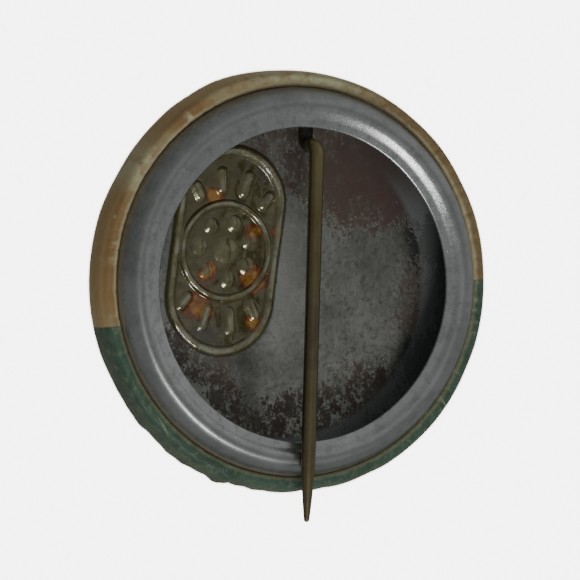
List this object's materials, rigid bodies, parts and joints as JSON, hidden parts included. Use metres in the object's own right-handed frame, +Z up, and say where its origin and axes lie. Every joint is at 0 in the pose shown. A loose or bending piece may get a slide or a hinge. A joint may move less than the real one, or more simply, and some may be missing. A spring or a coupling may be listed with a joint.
{
  "type": "button badge",
  "caption": "Round pin-back button badge with a film-covered paper face on a domed tin shell, a back collet and a sprung brass wire pin.",
  "frame": {"origin": "on the axis of the straight pin, level with the middle of the badge", "axes": "+Y out of the badge's back, +Z up as the badge is worn with its pin pointing down, +X to the right as the printed face is seen"},
  "size_m": [0.0222, 0.0051, 0.0236],
  "materials": {
    "tinplate": "aged tinplate with rust bloom, lacquered over the stamped oval",
    "printed_paper": "litho print, tan above and teal green below",
    "celluloid": "clear aged celluloid, gloss",
    "collet_tin": "satin tinned steel",
    "brass_wire": "tarnished drawn brass"
  },
  "bodies": {
    "badge": {"face_shell": "tinplate", "printed_paper": "printed_paper", "celluloid_film": "celluloid", "back_collet": "collet_tin"},
    "spring": {"spring_hoop": "brass_wire"},
    "pin": {"pin_arm": "brass_wire"}
  },
  "joints": [
    {"name": "spring_turn", "type": "hinge", "parent": "badge", "child": "spring", "pos_m": [0.00025, -0.0015, 0], "axis": [0, 1, 0], "continuous": true},
    {"name": "pin_lift", "type": "hinge", "parent": "spring", "child": "pin", "pos_m": [0, -0.0015, 0.0078], "axis": [1, 0, 0], "range_deg": [0, 35], "stiffness_Nm_per_rad": 0.01}
  ]
}
